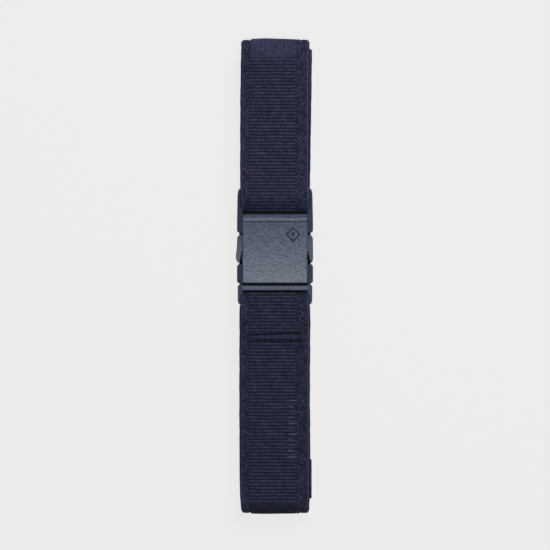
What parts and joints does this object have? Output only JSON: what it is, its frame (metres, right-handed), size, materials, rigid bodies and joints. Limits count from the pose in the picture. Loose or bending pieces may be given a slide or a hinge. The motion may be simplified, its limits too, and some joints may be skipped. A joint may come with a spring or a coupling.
{
  "type": "stretch webbing belt",
  "caption": "Elastic webbing belt with a low side-release buckle, sliding adjuster and folded loop, fastened and laid flat.",
  "frame": {"origin": "under the middle of the flattened loop, on the surface that its back lies on", "axes": "+X across the webbing, +Y along the belt towards the socket end, +Z out of the buckle's face"},
  "size_m": [0.0424, 0.2658, 0.0127],
  "materials": {
    "webbing": "ribbed elastic webbing, dark navy",
    "buckle_shell": "moulded, satin navy",
    "buckle_plate": "fine matte moulded grain, slate blue",
    "latch": "moulded, satin slate blue",
    "adjuster": "moulded, near black",
    "thread": "twisted sewing thread",
    "print": "heat-set print film"
  },
  "bodies": {
    "plug_side": {"plug_frame": "buckle_shell", "plug_strap_bar": "buckle_shell", "plug_guide_tongue": "buckle_shell", "strap_plug_hem": "webbing", "strap_plug_wrap": "webbing", "strap_front_lower": "webbing", "strap_bottom_fold": "webbing", "strap_back_raised": "webbing", "strap_back_outer": "webbing", "strap_inner_back_upper": "webbing", "plug_seam_stitches": "thread", "printed_ticks": "print"},
    "socket_side": {"socket_base_shell": "buckle_shell", "socket_face_plate": "buckle_plate", "socket_strap_bar": "buckle_shell", "strap_top_fold_outer": "webbing", "strap_front_upper": "webbing", "strap_socket_wrap": "webbing", "strap_inner_front": "webbing", "strap_top_fold_inner": "webbing"},
    "latch_left": {"latch_prong_left": "latch"},
    "latch_right": {"latch_prong_right": "latch"},
    "adjuster": {"adjuster_frame": "adjuster", "adjuster_centre_bar": "adjuster", "strap_adjuster_loop": "webbing", "strap_inner_back_lower": "webbing", "adjuster_seam_stitches": "thread"}
  },
  "joints": [
    {"name": "buckle_release", "type": "slide", "parent": "plug_side", "child": "socket_side", "axis": [0, 1, 0], "range_m": [0, 0.032], "deforming": ["latch_prong_left", "latch_prong_right"]},
    {"name": "latch_left_squeeze", "type": "hinge", "parent": "plug_side", "child": "latch_left", "pos_m": [-0.015, -0.0019, 0.0079], "axis": [0, 0, -1], "range_deg": [0, 10], "stiffness_Nm_per_rad": 0.1},
    {"name": "latch_right_squeeze", "type": "hinge", "parent": "plug_side", "child": "latch_right", "pos_m": [0.015, -0.0019, 0.0079], "axis": [0, 0, 1], "range_deg": [0, 10], "stiffness_Nm_per_rad": 0.1},
    {"name": "adjuster_slide", "type": "slide", "parent": "plug_side", "child": "adjuster", "axis": [0, 1, 0], "range_m": [0, 0.025], "deforming": ["strap_inner_back_lower"]}
  ]
}
